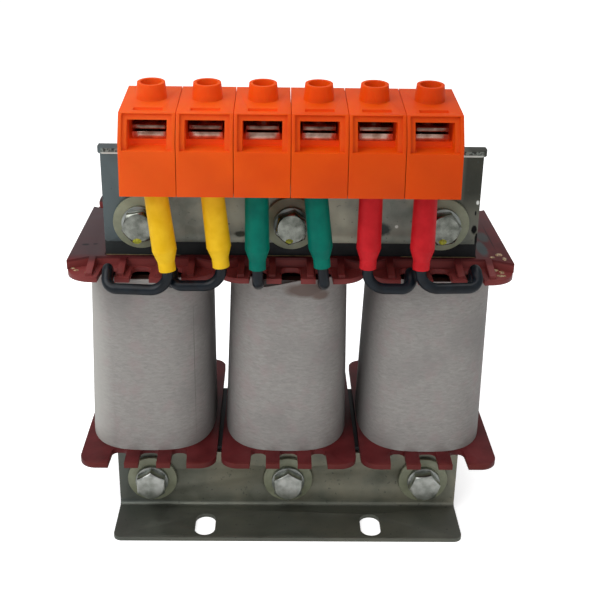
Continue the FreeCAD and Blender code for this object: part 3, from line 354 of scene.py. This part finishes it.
# Galvanised sheet: dull zinc with faint crystals, bluish to the left and warmer in the middle
def galvanised_sheet():
    material, tree, surface, place = start_material("galvanised_sheet", Metallic=0.8, Roughness=0.42)
    warp = add(tree, "ShaderNodeTexNoise", {"Scale": per(5), "Detail": 4.0}, {"Vector": place})
    crystals = add(tree, "ShaderNodeTexVoronoi", {"Scale": per(6)}, {"Vector": place})
    grey = add(tree, "ShaderNodeRGBToBW", links={"Color": crystals.outputs["Color"]})
    mixed = add(tree, "ShaderNodeMath", {"operation": "MULTIPLY_ADD", 1: 0.2},
                {0: grey.outputs["Val"], 2: warp.outputs["Fac"]})
    tint = blend_colours(tree, mixed.outputs["Value"], "#737870", "#969a90", 0.35, 0.85)
    broad = add(tree, "ShaderNodeTexNoise", {"Scale": per(16), "Detail": 3.0}, {"Vector": place})
    warm = add(tree, "ShaderNodeMapRange", {"From Min": 0.45, "From Max": 0.65, "To Max": 0.8},
               {"Value": broad.outputs["Fac"]})
    inward = times(tree, zone(tree, place, WARM_MIDDLE), warm.outputs["Result"])
    tint = cover(tree, tint, inward, "#b4b19e")
    tint = cover(tree, tint, times(tree, zone(tree, place, BLUISH_END), 0.85), "#58656a")
    # Painted shade darkens the right end, more towards the top, and the foot
    tint = cover(tree, tint, times(tree, zone(tree, place, *SHADED_RIGHT_END), 0.9), "#2a2c26")
    tint = cover(tree, tint, times(tree, zone(tree, place, SHADED_FOOT), 0.85), "#676960")
    tint = cover(tree, tint, times(tree, zone(tree, place, *FOOT_WALL), 0.45), "#6e6b58")
    specks = add(tree, "ShaderNodeTexNoise", {"Scale": per(1.3), "Detail": 2.0}, {"Vector": place})
    dark = add(tree, "ShaderNodeMapRange", {"From Min": 0.66, "From Max": 0.74, "To Max": 0.6},
               {"Value": specks.outputs["Fac"]})
    tint = cover(tree, tint, dark.outputs["Result"], "#4b504c")
    for centre, size, shade in BRACKET_MARKS:
        tint = cover(tree, tint, spot(tree, place, centre, size, ragged=0.6, grain=1.2), shade)
    lip_face = zone(tree, place, *LIP_FACE)
    tint = cover(tree, tint, times(tree, lip_face, 0.8), "#8d948d")
    torn = add(tree, "ShaderNodeTexNoise", {"Scale": per(1.1), "Detail": 3.0}, {"Vector": place})
    pits = add(tree, "ShaderNodeMapRange", {"From Min": 0.44, "From Max": 0.54, "To Max": 0.85},
               {"Value": torn.outputs["Fac"]})
    tint = cover(tree, tint, times(tree, lip_face, pits.outputs["Result"]), "#232423")
    tint = cover(tree, tint, zone(tree, place, *LIP_BURR), "#c9cbc4")
    tree.links.new(tint, surface.inputs["Base Color"])
    rough = add(tree, "ShaderNodeMapRange", {"To Min": 0.32, "To Max": 0.58},
                {"Value": mixed.outputs["Value"]})
    tree.links.new(rough.outputs["Result"], surface.inputs["Roughness"])
    fine = add(tree, "ShaderNodeTexNoise", {"Scale": per(0.9), "Detail": 4.0}, {"Vector": place})
    roughen(tree, surface, fine.outputs["Fac"], 0.14, 0.06)
    return material


# Bright plating on turned and pressed metal: zinc, nickel or tin
def bright_plating(name, low, high, roughness):
    material, tree, surface, place = start_material(name, Metallic=1.0, Roughness=roughness)
    cloud = add(tree, "ShaderNodeTexNoise", {"Scale": per(3.2), "Detail": 3.0}, {"Vector": place})
    tint = blend_colours(tree, cloud.outputs["Fac"], low, high)
    tree.links.new(tint, surface.inputs["Base Color"])
    roughen(tree, surface, cloud.outputs["Fac"], 0.3, 0.12)
    return material


# Translucent insulating washers: milky grey-green plastic
def milky_plastic():
    material, tree, surface, place = start_material("milky_insulating_plastic", Roughness=0.35, IOR=1.5)
    cloud = add(tree, "ShaderNodeTexNoise", {"Scale": per(5), "Detail": 3.0}, {"Vector": place})
    tint = blend_colours(tree, cloud.outputs["Fac"], "#7b7f68", "#8f937b")
    tree.links.new(tint, surface.inputs["Base Color"])
    return material


# Heat-shrunk polyolefin: satin skin with soft wrinkles across the sleeve
def shrunk_sleeve(name, low, high):
    material, tree, surface, place = start_material(name, Roughness=0.42, IOR=1.48, Specular_IOR_Level=0.12)
    cloud = add(tree, "ShaderNodeTexNoise", {"Scale": per(5), "Detail": 3.0}, {"Vector": place})
    tint = blend_colours(tree, cloud.outputs["Fac"], low, high)
    tree.links.new(tint, surface.inputs["Base Color"])
    across = add(tree, "ShaderNodeMapping", {"Scale": (per(6), per(6), per(2.4))}, {"Vector": place})
    wrinkles = add(tree, "ShaderNodeTexNoise", {"Scale": 1.0, "Detail": 3.0},
                   {"Vector": across.outputs["Vector"]})
    roughen(tree, surface, wrinkles.outputs["Fac"], 0.4, 0.3)
    return material


# Extruded insulation: blue-black, smooth, with a soft sheen
def wire_insulation():
    material, tree, surface, place = start_material("extruded_wire_insulation", Roughness=0.35, IOR=1.5,
                                                    Specular_IOR_Level=0.3)
    cloud = add(tree, "ShaderNodeTexNoise", {"Scale": per(3), "Detail": 3.0}, {"Vector": place})
    tint = blend_colours(tree, cloud.outputs["Fac"], "#070e15", "#0e1922")
    tree.links.new(tint, surface.inputs["Base Color"])
    return material


SHEET_THICKNESS = 0.5
# Where painted light greys the core's left end
LIT_CORE_END = ("X", -30.0, -46.0)


# Varnished core sheets: near-black edges with a thin line at every sheet; greyer to the left, where painted
# light marks the lit face of the left limb beside the shaded middle
def core_sheets():
    material, tree, surface, place = start_material("varnished_core_sheets", Metallic=0.4, Roughness=0.5)
    parts = add(tree, "ShaderNodeSeparateXYZ", links={"Vector": place})
    count = add(tree, "ShaderNodeMath", {"operation": "MULTIPLY", 1: per(SHEET_THICKNESS)},
                {0: parts.outputs["Y"]})
    line = add(tree, "ShaderNodeMath", {"operation": "PINGPONG", 1: 0.5}, {0: count.outputs["Value"]})
    cloud = add(tree, "ShaderNodeTexNoise", {"Scale": per(8), "Detail": 5.0}, {"Vector": place})
    mixed = add(tree, "ShaderNodeMath", {"operation": "MULTIPLY_ADD", 1: 0.5},
                {0: line.outputs["Value"], 2: cloud.outputs["Fac"]})
    tint = blend_colours(tree, mixed.outputs["Value"], "#101216", "#2a2c2e", 0.4, 0.8)
    # Painted light: the lit left limb is greyer than the shaded middle
    tint = cover(tree, tint, times(tree, zone(tree, place, LIT_CORE_END), 0.6), "#383f3f")
    tree.links.new(tint, surface.inputs["Base Color"])
    roughen(tree, surface, line.outputs["Value"], 0.5, 0.1)
    return material


# Plain pressboard and enamelled copper
def plain_pattern(name, low, high, size_mm, **shader):
    material, tree, surface, place = start_material(name, **shader)
    cloud = add(tree, "ShaderNodeTexNoise", {"Scale": per(size_mm), "Detail": 4.0}, {"Vector": place})
    tint = blend_colours(tree, cloud.outputs["Fac"], low, high)
    tree.links.new(tint, surface.inputs["Base Color"])
    return material


finishes = {
    "core_sheets": core_sheets(),
    "gap_board": plain_pattern("pressboard", "#7d6d49", "#958560", 2, Roughness=0.8),
    "bobbin_plastic": moulded_oxblood(),
    # The copper is painted near-black brown: partly its dark varnish, partly painted shade for the slots
    # where it shows
    "winding_copper": plain_pattern("dark_copper_with_slot_shade", "#1d100c", "#3a2016", 1, Roughness=0.5),
    "coil_tape": fibre_tape("centre"),
    "bracket_zinc": galvanised_sheet(),
    # The upper bolts' plating is painted darker than the same plating on the foot bolts: painted shade
    "bolt_zinc": bright_plating("zinc_plated_bolts_shaded", "#5c5f58", "#94978f", 0.24),
    "washer_zinc": bright_plating("zinc_plated_washers", "#8a8e8a", "#a9ada9", 0.3),
    "washer_plastic": milky_plastic(),
    "terminal_plastic": moulded_orange(),
    "clamp_steel": bright_plating("nickel_plated_clamps", "#6a4c42", "#a08578", 0.25),
    "contact_tin": bright_plating("tinned_copper", "#b08472", "#e4c2b2", 0.22),
    "sleeve_yellow": shrunk_sleeve("shrunk_sleeve_yellow", "#f0bd18", "#fbcb28"),
    "sleeve_green": shrunk_sleeve("shrunk_sleeve_green", "#006a5c", "#007866"),
    "sleeve_red": shrunk_sleeve("shrunk_sleeve_red", "#bd1c24", "#d0242c"),
    "lead_black": wire_insulation(),
}
bolt_finishes = {"top": finishes["bolt_zinc"],
                 "foot": bright_plating("zinc_plated_foot_bolts", "#9a9e97", "#c6c9c4", 0.3)}
tapes = {"left": fibre_tape("left"), "centre": finishes["coil_tape"], "right": fibre_tape("right")}


def dress(piece, slot, material=None):
    """Give a piece its finish, or one variant of it."""
    piece.data.materials.clear()
    piece.data.materials.append(material or finishes[slot])


slot_of = {entry["node"]: entry["material_slot"] for entry in frame["record"]["subparts"]}
for name, node in nodes.items():
    dress(node, slot_of[name])


# Modelling helpers

MERGE_DISTANCE = 0.005
FLAT_ANGLE = 1
SHARP_ANGLE = 35
SMOOTH_ANGLE = 30
SOFT_SEGMENTS = 2


def pick_only(*pieces):
    bpy.ops.object.select_all(action="DESELECT")
    for piece in pieces:
        piece.select_set(True)
    bpy.context.view_layer.objects.active = pieces[0]


def add_shape(maker, **settings):
    """Add a primitive shape with nothing else selected."""
    bpy.ops.object.select_all(action="DESELECT")
    maker(**settings)
    return bpy.context.object


def smooth(piece, angle=SMOOTH_ANGLE):
    """Shade smoothly over edges that are flatter than an angle in degrees."""
    pick_only(piece)
    bpy.ops.object.shade_smooth_by_angle(angle=math.radians(angle))


def settle(piece, name, slot, *replaced, material=None):
    """Name a finished piece, put its place in its mesh and tie it to the object."""
    pick_only(piece)
    bpy.ops.object.transform_apply(location=True, rotation=True, scale=True)
    piece.name = name
    piece.data.name = name
    dress(piece, slot, material)
    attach(piece, "root")
    if replaced:
        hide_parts(*replaced)


def apply_modifier(piece, kind, **settings):
    modifier = piece.modifiers.new(kind.lower(), kind)
    for name, number in settings.items():
        setattr(modifier, name, number)
    pick_only(piece)
    bpy.ops.object.modifier_apply(modifier=modifier.name)


def copy_of(node_name):
    """Copy a solid with its doubled corners merged."""
    piece = nodes[node_name].copy()
    piece.data = nodes[node_name].data.copy()
    piece.parent = None
    scene.collection.objects.link(piece)
    pick_only(piece)
    bpy.ops.object.mode_set(mode="EDIT")
    bpy.ops.mesh.select_all(action="SELECT")
    bpy.ops.mesh.remove_doubles(threshold=MERGE_DISTANCE * MM)
    bpy.ops.mesh.dissolve_limited(angle_limit=math.radians(FLAT_ANGLE))
    bpy.ops.object.mode_set(mode="OBJECT")
    return piece


def softened(node_name, width_mm, reshape=None):
    """Copy a solid with its sharp edges rounded, as moulding or wear leaves them."""
    piece = copy_of(node_name)
    if reshape:
        reshape(piece)
    apply_modifier(piece, "BEVEL", width=width_mm * MM, segments=SOFT_SEGMENTS, limit_method="ANGLE",
                   angle_limit=math.radians(SHARP_ANGLE), use_clamp_overlap=True, harden_normals=False)
    smooth(piece)
    return piece


# A bobbin tube's corner from its coil's middle, how near to it a vertex lies, how far it goes inward, and
# the heights between which it goes
TUBE_CORNER = (14.5, 24.5)
CORNER_REACH = 0.6
CORNER_PULL = 1.6
TUBE_HEIGHTS = (26.0, 96.5)


def pull_tube_corners(piece):
    """Draw the tube's four upright corners inward, so that the coil covers them."""
    low, high = TUBE_HEIGHTS
    for corner in piece.data.vertices:
        x, y, z = (number / MM for number in corner.co)
        centre = COIL_PITCH * round(x / COIL_PITCH)
        at_side = abs(abs(x - centre) - TUBE_CORNER[0]) < CORNER_REACH
        at_front = abs(abs(y) - TUBE_CORNER[1]) < CORNER_REACH
        if at_side and at_front and low < z < high:
            corner.co.x -= math.copysign(CORNER_PULL, x - centre) * MM
            corner.co.y -= math.copysign(CORNER_PULL, y) * MM


# How wide each kind of edge is rounded
HOUSING_EDGE = 0.3
BOBBIN_EDGE = 0.45
BRACKET_EDGE = 0.2

for name in nodes:
    if name.startswith("terminal_housing"):
        settle(softened(name, HOUSING_EDGE), name + "_moulding", "terminal_plastic", name)
    elif name.startswith("bobbin"):
        moulding = softened(name, BOBBIN_EDGE, reshape=pull_tube_corners)
        settle(moulding, name + "_moulding", "bobbin_plastic", name)
    elif name.startswith(("top_bracket", "foot_bracket")):
        settle(softened(name, BRACKET_EDGE), name + "_sheet", "bracket_zinc", name)

SMALL_PIECES = [
    ("clamp_plates", "clamp_steel", 0.3),
    ("contact_bars", "contact_tin", 0.5),
    ("flat_washers", "washer_zinc", 0.2),
    ("insulating_washers", "washer_plastic", 0.25),
    ("nuts", "bolt_zinc", 0.35),
    ("spring_washers", "washer_zinc", 0.2),
]
for name, slot, width in SMALL_PIECES:
    settle(softened(name, width), name + "_rounded", slot, name)

# The coils swell toward the foot and lean a little, as the photograph shows
COIL_LOW = 27.8
COIL_HIGH = 94.1
COIL_HALF_DEPTH = 29.0
COIL_HALF_WIDTHS = {"left": (22.8, 21.15), "centre": (22.5, 20.6), "right": (22.8, 21.15)}
COIL_ROUNDNESS = 2.9
COIL_POINTS = 240
COIL_SHIFTS = {"left": (-0.2, 1.0), "centre": (-0.9, -0.3), "right": (-1.0, -0.35)}
TAPE_THICKNESS = 0.5
WINDING_THICKNESS = 4.0
# The tape's upper edge hangs down beside the third lead: from, to, depth
TAPE_DIP = (-12.0, 3.0, 3.4)


def between(foot, top, rise):
    """Run in a straight line from the foot's number to the top's."""
    return foot * (1 - rise) + top * rise


def rounded(share, power):
    """Raise a share of a circle to a power and keep its sign."""
    return math.copysign(abs(share) ** power, share)


def coil_ring(side, inset, thickness, dip=False):
    """Wind one upright ring with a rounded-rectangle section around a core limb."""
    ring = add_shape(bpy.ops.mesh.primitive_cylinder_add, vertices=COIL_POINTS, radius=1, depth=1,
                     end_fill_type="NOTHING")
    power = 2 / COIL_ROUNDNESS
    for corner in ring.data.vertices:
        rise = corner.co.z + 0.5
        half_width = between(*COIL_HALF_WIDTHS[side], rise) - inset
        x = half_width * rounded(corner.co.x, power) + between(*COIL_SHIFTS[side], rise)
        y = (COIL_HALF_DEPTH - inset) * rounded(corner.co.y, power)
        z = between(COIL_LOW, COIL_HIGH, rise)
        left, right, depth = TAPE_DIP
        if dip and rise > 0.5 and y < 0 and left < x < right:
            z -= depth * (right - x) / (right - left)
        corner.co = Vector((COIL_PLACES[side] + x, y, z)) * MM
    apply_modifier(ring, "SOLIDIFY", thickness=thickness * MM, offset=-1)
    smooth(ring)
    return ring


for side in COIL_SHIFTS:
    winding = coil_ring(side, TAPE_THICKNESS, WINDING_THICKNESS)
    settle(winding, f"winding_{side}_wound", "winding_copper", f"winding_{side}")
    tape = coil_ring(side, 0.0, TAPE_THICKNESS, dip=side == "centre")
    settle(tape, f"coil_wrap_{side}_wound", "coil_tape", f"coil_wrap_{side}", material=tapes[side])

# The leads turn into their coils a little higher than their modelled ends: from which height, to what share
OUTER_LEAD = (93.5, 0.25)
MIDDLE_LEAD = (102.0, 0.75)
LEAD_ENDS = {1: OUTER_LEAD, 2: OUTER_LEAD, 3: MIDDLE_LEAD, 4: MIDDLE_LEAD, 5: OUTER_LEAD, 6: OUTER_LEAD}
LEAD_SMOOTH_ANGLE = 40

for number, (from_height, share) in LEAD_ENDS.items():
    lead = copy_of(f"lead_{number}")
    for corner in lead.data.vertices:
        if corner.co.z < from_height * MM:
            corner.co.z = from_height * MM - (from_height * MM - corner.co.z) * share
    smooth(lead, LEAD_SMOOTH_ANGLE)
    settle(lead, f"lead_{number}_laid", "lead_black", f"lead_{number}")


# Bolts with chamfered hexagon heads: height, front face of the heads, tip of the shanks and turns
HEAD_WIDTH = 10.0
HEAD_HEIGHT = 4.0
HEAD_EDGE = 0.12
HEAD_EDGE_ANGLE = 12
CHAMFER_RADIUS = 4.65
CHAMFER_SLOPE = 1.6
CONE_PAST_HEAD = 1.0
SHANK_RADIUS = 3.0
TIP_CHAMFER = 0.5
ROUND_EDGE_ANGLE = 60
BOLT_SMOOTH_ANGLE = 25
BOLT_ROWS = {"top": (113.2, -31.6, 36.0, (12, 20, 8)), "foot": (13.2, -31.1, 35.5, (30, 30, 8))}


def round_bar(kind, x, y, z, length, first, second=None, vertices=64):
    """Add a cylinder or cone along Y, from its front end at y."""
    settings = {"location": (x * MM, (y + length / 2) * MM, z * MM), "rotation": (math.radians(-90), 0, 0),
                "vertices": vertices, "depth": length * MM}
    if kind == "cone":
        return add_shape(bpy.ops.mesh.primitive_cone_add, radius1=first * MM, radius2=second * MM,
                         **settings)
    return add_shape(bpy.ops.mesh.primitive_cylinder_add, radius=first * MM, **settings)


def hexagon_head(x, z, face, turn):
    """Cut a hexagon from a cone, so that its front corners are chamfered round."""
    corner_radius = HEAD_WIDTH / 2 / math.cos(math.radians(30))
    head = round_bar("cylinder", x, face, z, HEAD_HEIGHT, corner_radius, vertices=6)
    pick_only(head)
    bpy.ops.object.transform_apply(location=False, rotation=True, scale=True)
    # A six-sided cylinder laid along Y has a corner at the top, 90 degrees round from +X
    head.rotation_euler = (0, math.radians(90 - turn), 0)
    bpy.ops.object.transform_apply(location=False, rotation=True, scale=True)
    reach = HEAD_HEIGHT + CONE_PAST_HEAD
    cone = round_bar("cone", x, face, z, reach, CHAMFER_RADIUS, CHAMFER_RADIUS + CHAMFER_SLOPE * reach)
    apply_modifier(head, "BOOLEAN", operation="INTERSECT", object=cone)
    bpy.data.objects.remove(cone)
    return head


for row, (height, face, tip, turns) in BOLT_ROWS.items():
    parts = []
    for number, turn in enumerate(turns):
        x = (number - 1) * COIL_PITCH
        head = hexagon_head(x, height, face, turn)
        apply_modifier(head, "BEVEL", width=HEAD_EDGE * MM, segments=2, limit_method="ANGLE",
                       angle_limit=math.radians(HEAD_EDGE_ANGLE))
        parts.append(head)
        shank_start = face + HEAD_HEIGHT - TIP_CHAMFER
        shank = round_bar("cylinder", x, shank_start, height, tip - shank_start, SHANK_RADIUS)
        apply_modifier(shank, "BEVEL", width=TIP_CHAMFER * MM, segments=1, limit_method="ANGLE",
                       angle_limit=math.radians(ROUND_EDGE_ANGLE))
        parts.append(shank)
    pick_only(*parts)
    bpy.ops.object.join()
    smooth(parts[0], BOLT_SMOOTH_ANGLE)
    settle(parts[0], f"{row}_bolts_chamfered", "bolt_zinc", f"{row}_bolts", material=bolt_finishes[row])


# Dabs of sealing paint on the upper heads and beads of clear glue on the flanges
def blob(name, centre, size, material, ride_slot):
    """Add one rounded lump with a half size along each axis."""
    piece = add_shape(bpy.ops.mesh.primitive_ico_sphere_add, subdivisions=4, radius=MM,
                      location=[number * MM for number in centre])
    piece.scale = size
    bpy.ops.object.shade_smooth()
    settle(piece, name, ride_slot, material=material)


def sealing_paint():
    material, tree, surface, place = start_material("sealing_paint", Roughness=0.3)
    cloud = add(tree, "ShaderNodeTexNoise", {"Scale": per(0.8), "Detail": 3.0}, {"Vector": place})
    tint = blend_colours(tree, cloud.outputs["Fac"], "#6f7407", "#b3b218")
    tree.links.new(tint, surface.inputs["Base Color"])
    roughen(tree, surface, cloud.outputs["Fac"], 0.8, 0.4)
    return material


def clear_glue():
    material, tree, surface, place = start_material("clear_glue", Roughness=0.12, IOR=1.5)
    cloud = add(tree, "ShaderNodeTexNoise", {"Scale": per(0.9), "Detail": 3.0}, {"Vector": place})
    tint = blend_colours(tree, cloud.outputs["Fac"], "#7a5a44", "#c9ad84")
    tree.links.new(tint, surface.inputs["Base Color"])
    roughen(tree, surface, cloud.outputs["Fac"], 0.9, 0.5)
    return material


paint = sealing_paint()
glue = clear_glue()
# Dabs of paint: place and half size
DABS = [((-50.5, -31.5, 108.7), (1.5, 0.35, 0.95)), ((-0.7, -31.5, 109.1), (1.3, 0.35, 0.8)),
        ((49.6, -31.5, 109.3), (1.4, 0.4, 1.0))]
for number, (centre, size) in enumerate(DABS, start=1):
    blob(f"paint_dab_{number}", centre, size, paint, "bolt_zinc")

# Beads on the flanges' upper sides: place across and front to rear, and half size
GLUE_BEADS = [
    ((71.0, -20.2), (1.3, 1.2, 0.45)),
    ((72.2, -24.0), (0.8, 1.5, 0.4)),
    ((68.6, -26.4), (1.5, 1.1, 0.4)),
    ((70.8, -28.2), (0.9, 1.3, 0.35)),
    ((68.4, -22.6), (0.9, 0.7, 0.35)),
    ((70.0, -31.4), (1.7, 0.8, 0.35)),
    ((-71.6, -29.5), (0.9, 0.6, 0.35)),
    ((-73.0, -27.7), (0.8, 0.6, 0.35)),
    ((-68.0, -31.2), (0.35, 1.3, 0.4)),
]
ABOVE_FLANGE = 106.0


def height_under(x, y):
    """Find the height of the flange's upper side at one place."""
    start = Vector((x, y, ABOVE_FLANGE)) * MM
    found = scene.ray_cast(bpy.context.evaluated_depsgraph_get(), start, Vector((0, 0, -1)))
    return found[1].z / MM


for number, ((x, y), size) in enumerate(GLUE_BEADS, start=1):
    blob(f"glue_bead_{number}", (x, y, height_under(x, y)), size, glue, "bobbin_plastic")

# A rounded ear with a spot of glue stands on the left flange's rear corner
EAR_PLACE = (-69.9, 36.4, 99.0)
EAR_RADIUS = 4.3
EAR_THICKNESS = 2.4
EAR_EDGE = 0.6
EAR_BEAD_PLACE = (-71.2, 36.4, 101.3)
EAR_BEAD_SIZE = (0.8, 0.5, 1.1)
ear = round_bar("cylinder", *EAR_PLACE, EAR_THICKNESS, EAR_RADIUS)
apply_modifier(ear, "BEVEL", width=EAR_EDGE * MM, segments=3, limit_method="ANGLE",
               angle_limit=math.radians(ROUND_EDGE_ANGLE))
smooth(ear)
settle(ear, "bobbin_left_ear", "bobbin_plastic")
blob("glue_bead_on_ear", EAR_BEAD_PLACE, EAR_BEAD_SIZE, glue, "bobbin_plastic")


# Studio: pale floor and soft light

FLOOR_SIZE = 6
FLOOR_GLOW = 0.68
SKY_LIGHT = 0.36
# Soft square lamps: name, place and width in metres, and power
LAMPS = [("key", (-0.55, -0.5, 0.75), 0.8, 5.2), ("fill", (0.5, -0.7, 0.3), 0.8, 0.5),
         ("top", (0.0, 0.1, 1.0), 0.9, 3.6)]
LAMP_TARGET = (0, 0, 0.08)


def studio():
    floor = add_shape(bpy.ops.mesh.primitive_plane_add, size=FLOOR_SIZE, location=(0, 0, 0))
    floor.name = "floor"
    material, tree, surface = start_material("pale_floor", Roughness=0.9, Specular_IOR_Level=0.1)[:3]
    surface.inputs["Base Color"].default_value = colour("#f6f6f6")
    surface.inputs["Emission Color"].default_value = (1, 1, 1, 1)
    rays = add(tree, "ShaderNodeLightPath")
    glow = add(tree, "ShaderNodeMath", {"operation": "MULTIPLY", 1: FLOOR_GLOW},
               {0: rays.outputs["Is Camera Ray"]})
    tree.links.new(glow.outputs["Value"], surface.inputs["Emission Strength"])
    floor.data.materials.append(material)
    world = bpy.data.worlds.new("studio")
    scene.world = world
    world.use_nodes = True
    tree = world.node_tree
    background = tree.nodes["Background"]
    rays = add(tree, "ShaderNodeLightPath")
    seen = add(tree, "ShaderNodeMath", {"operation": "ADD", "use_clamp": True},
               {0: rays.outputs["Is Camera Ray"], 1: rays.outputs["Is Transmission Ray"]})
    strength = add(tree, "ShaderNodeMapRange", {"To Min": SKY_LIGHT, "To Max": 1.0},
                   {"Value": seen.outputs["Value"]})
    tree.links.new(strength.outputs["Result"], background.inputs["Strength"])
    background.inputs["Color"].default_value = (1, 1, 1, 1)
    for name, place, size, power in LAMPS:
        lamp = bpy.data.lights.new(name, "AREA")
        lamp.size = size
        lamp.energy = power
        holder = bpy.data.objects.new(name, lamp)
        scene.collection.objects.link(holder)
        holder.location = place
        aim = Vector(LAMP_TARGET) - Vector(place)
        holder.rotation_euler = aim.to_track_quat("-Z", "Y").to_euler()


studio()
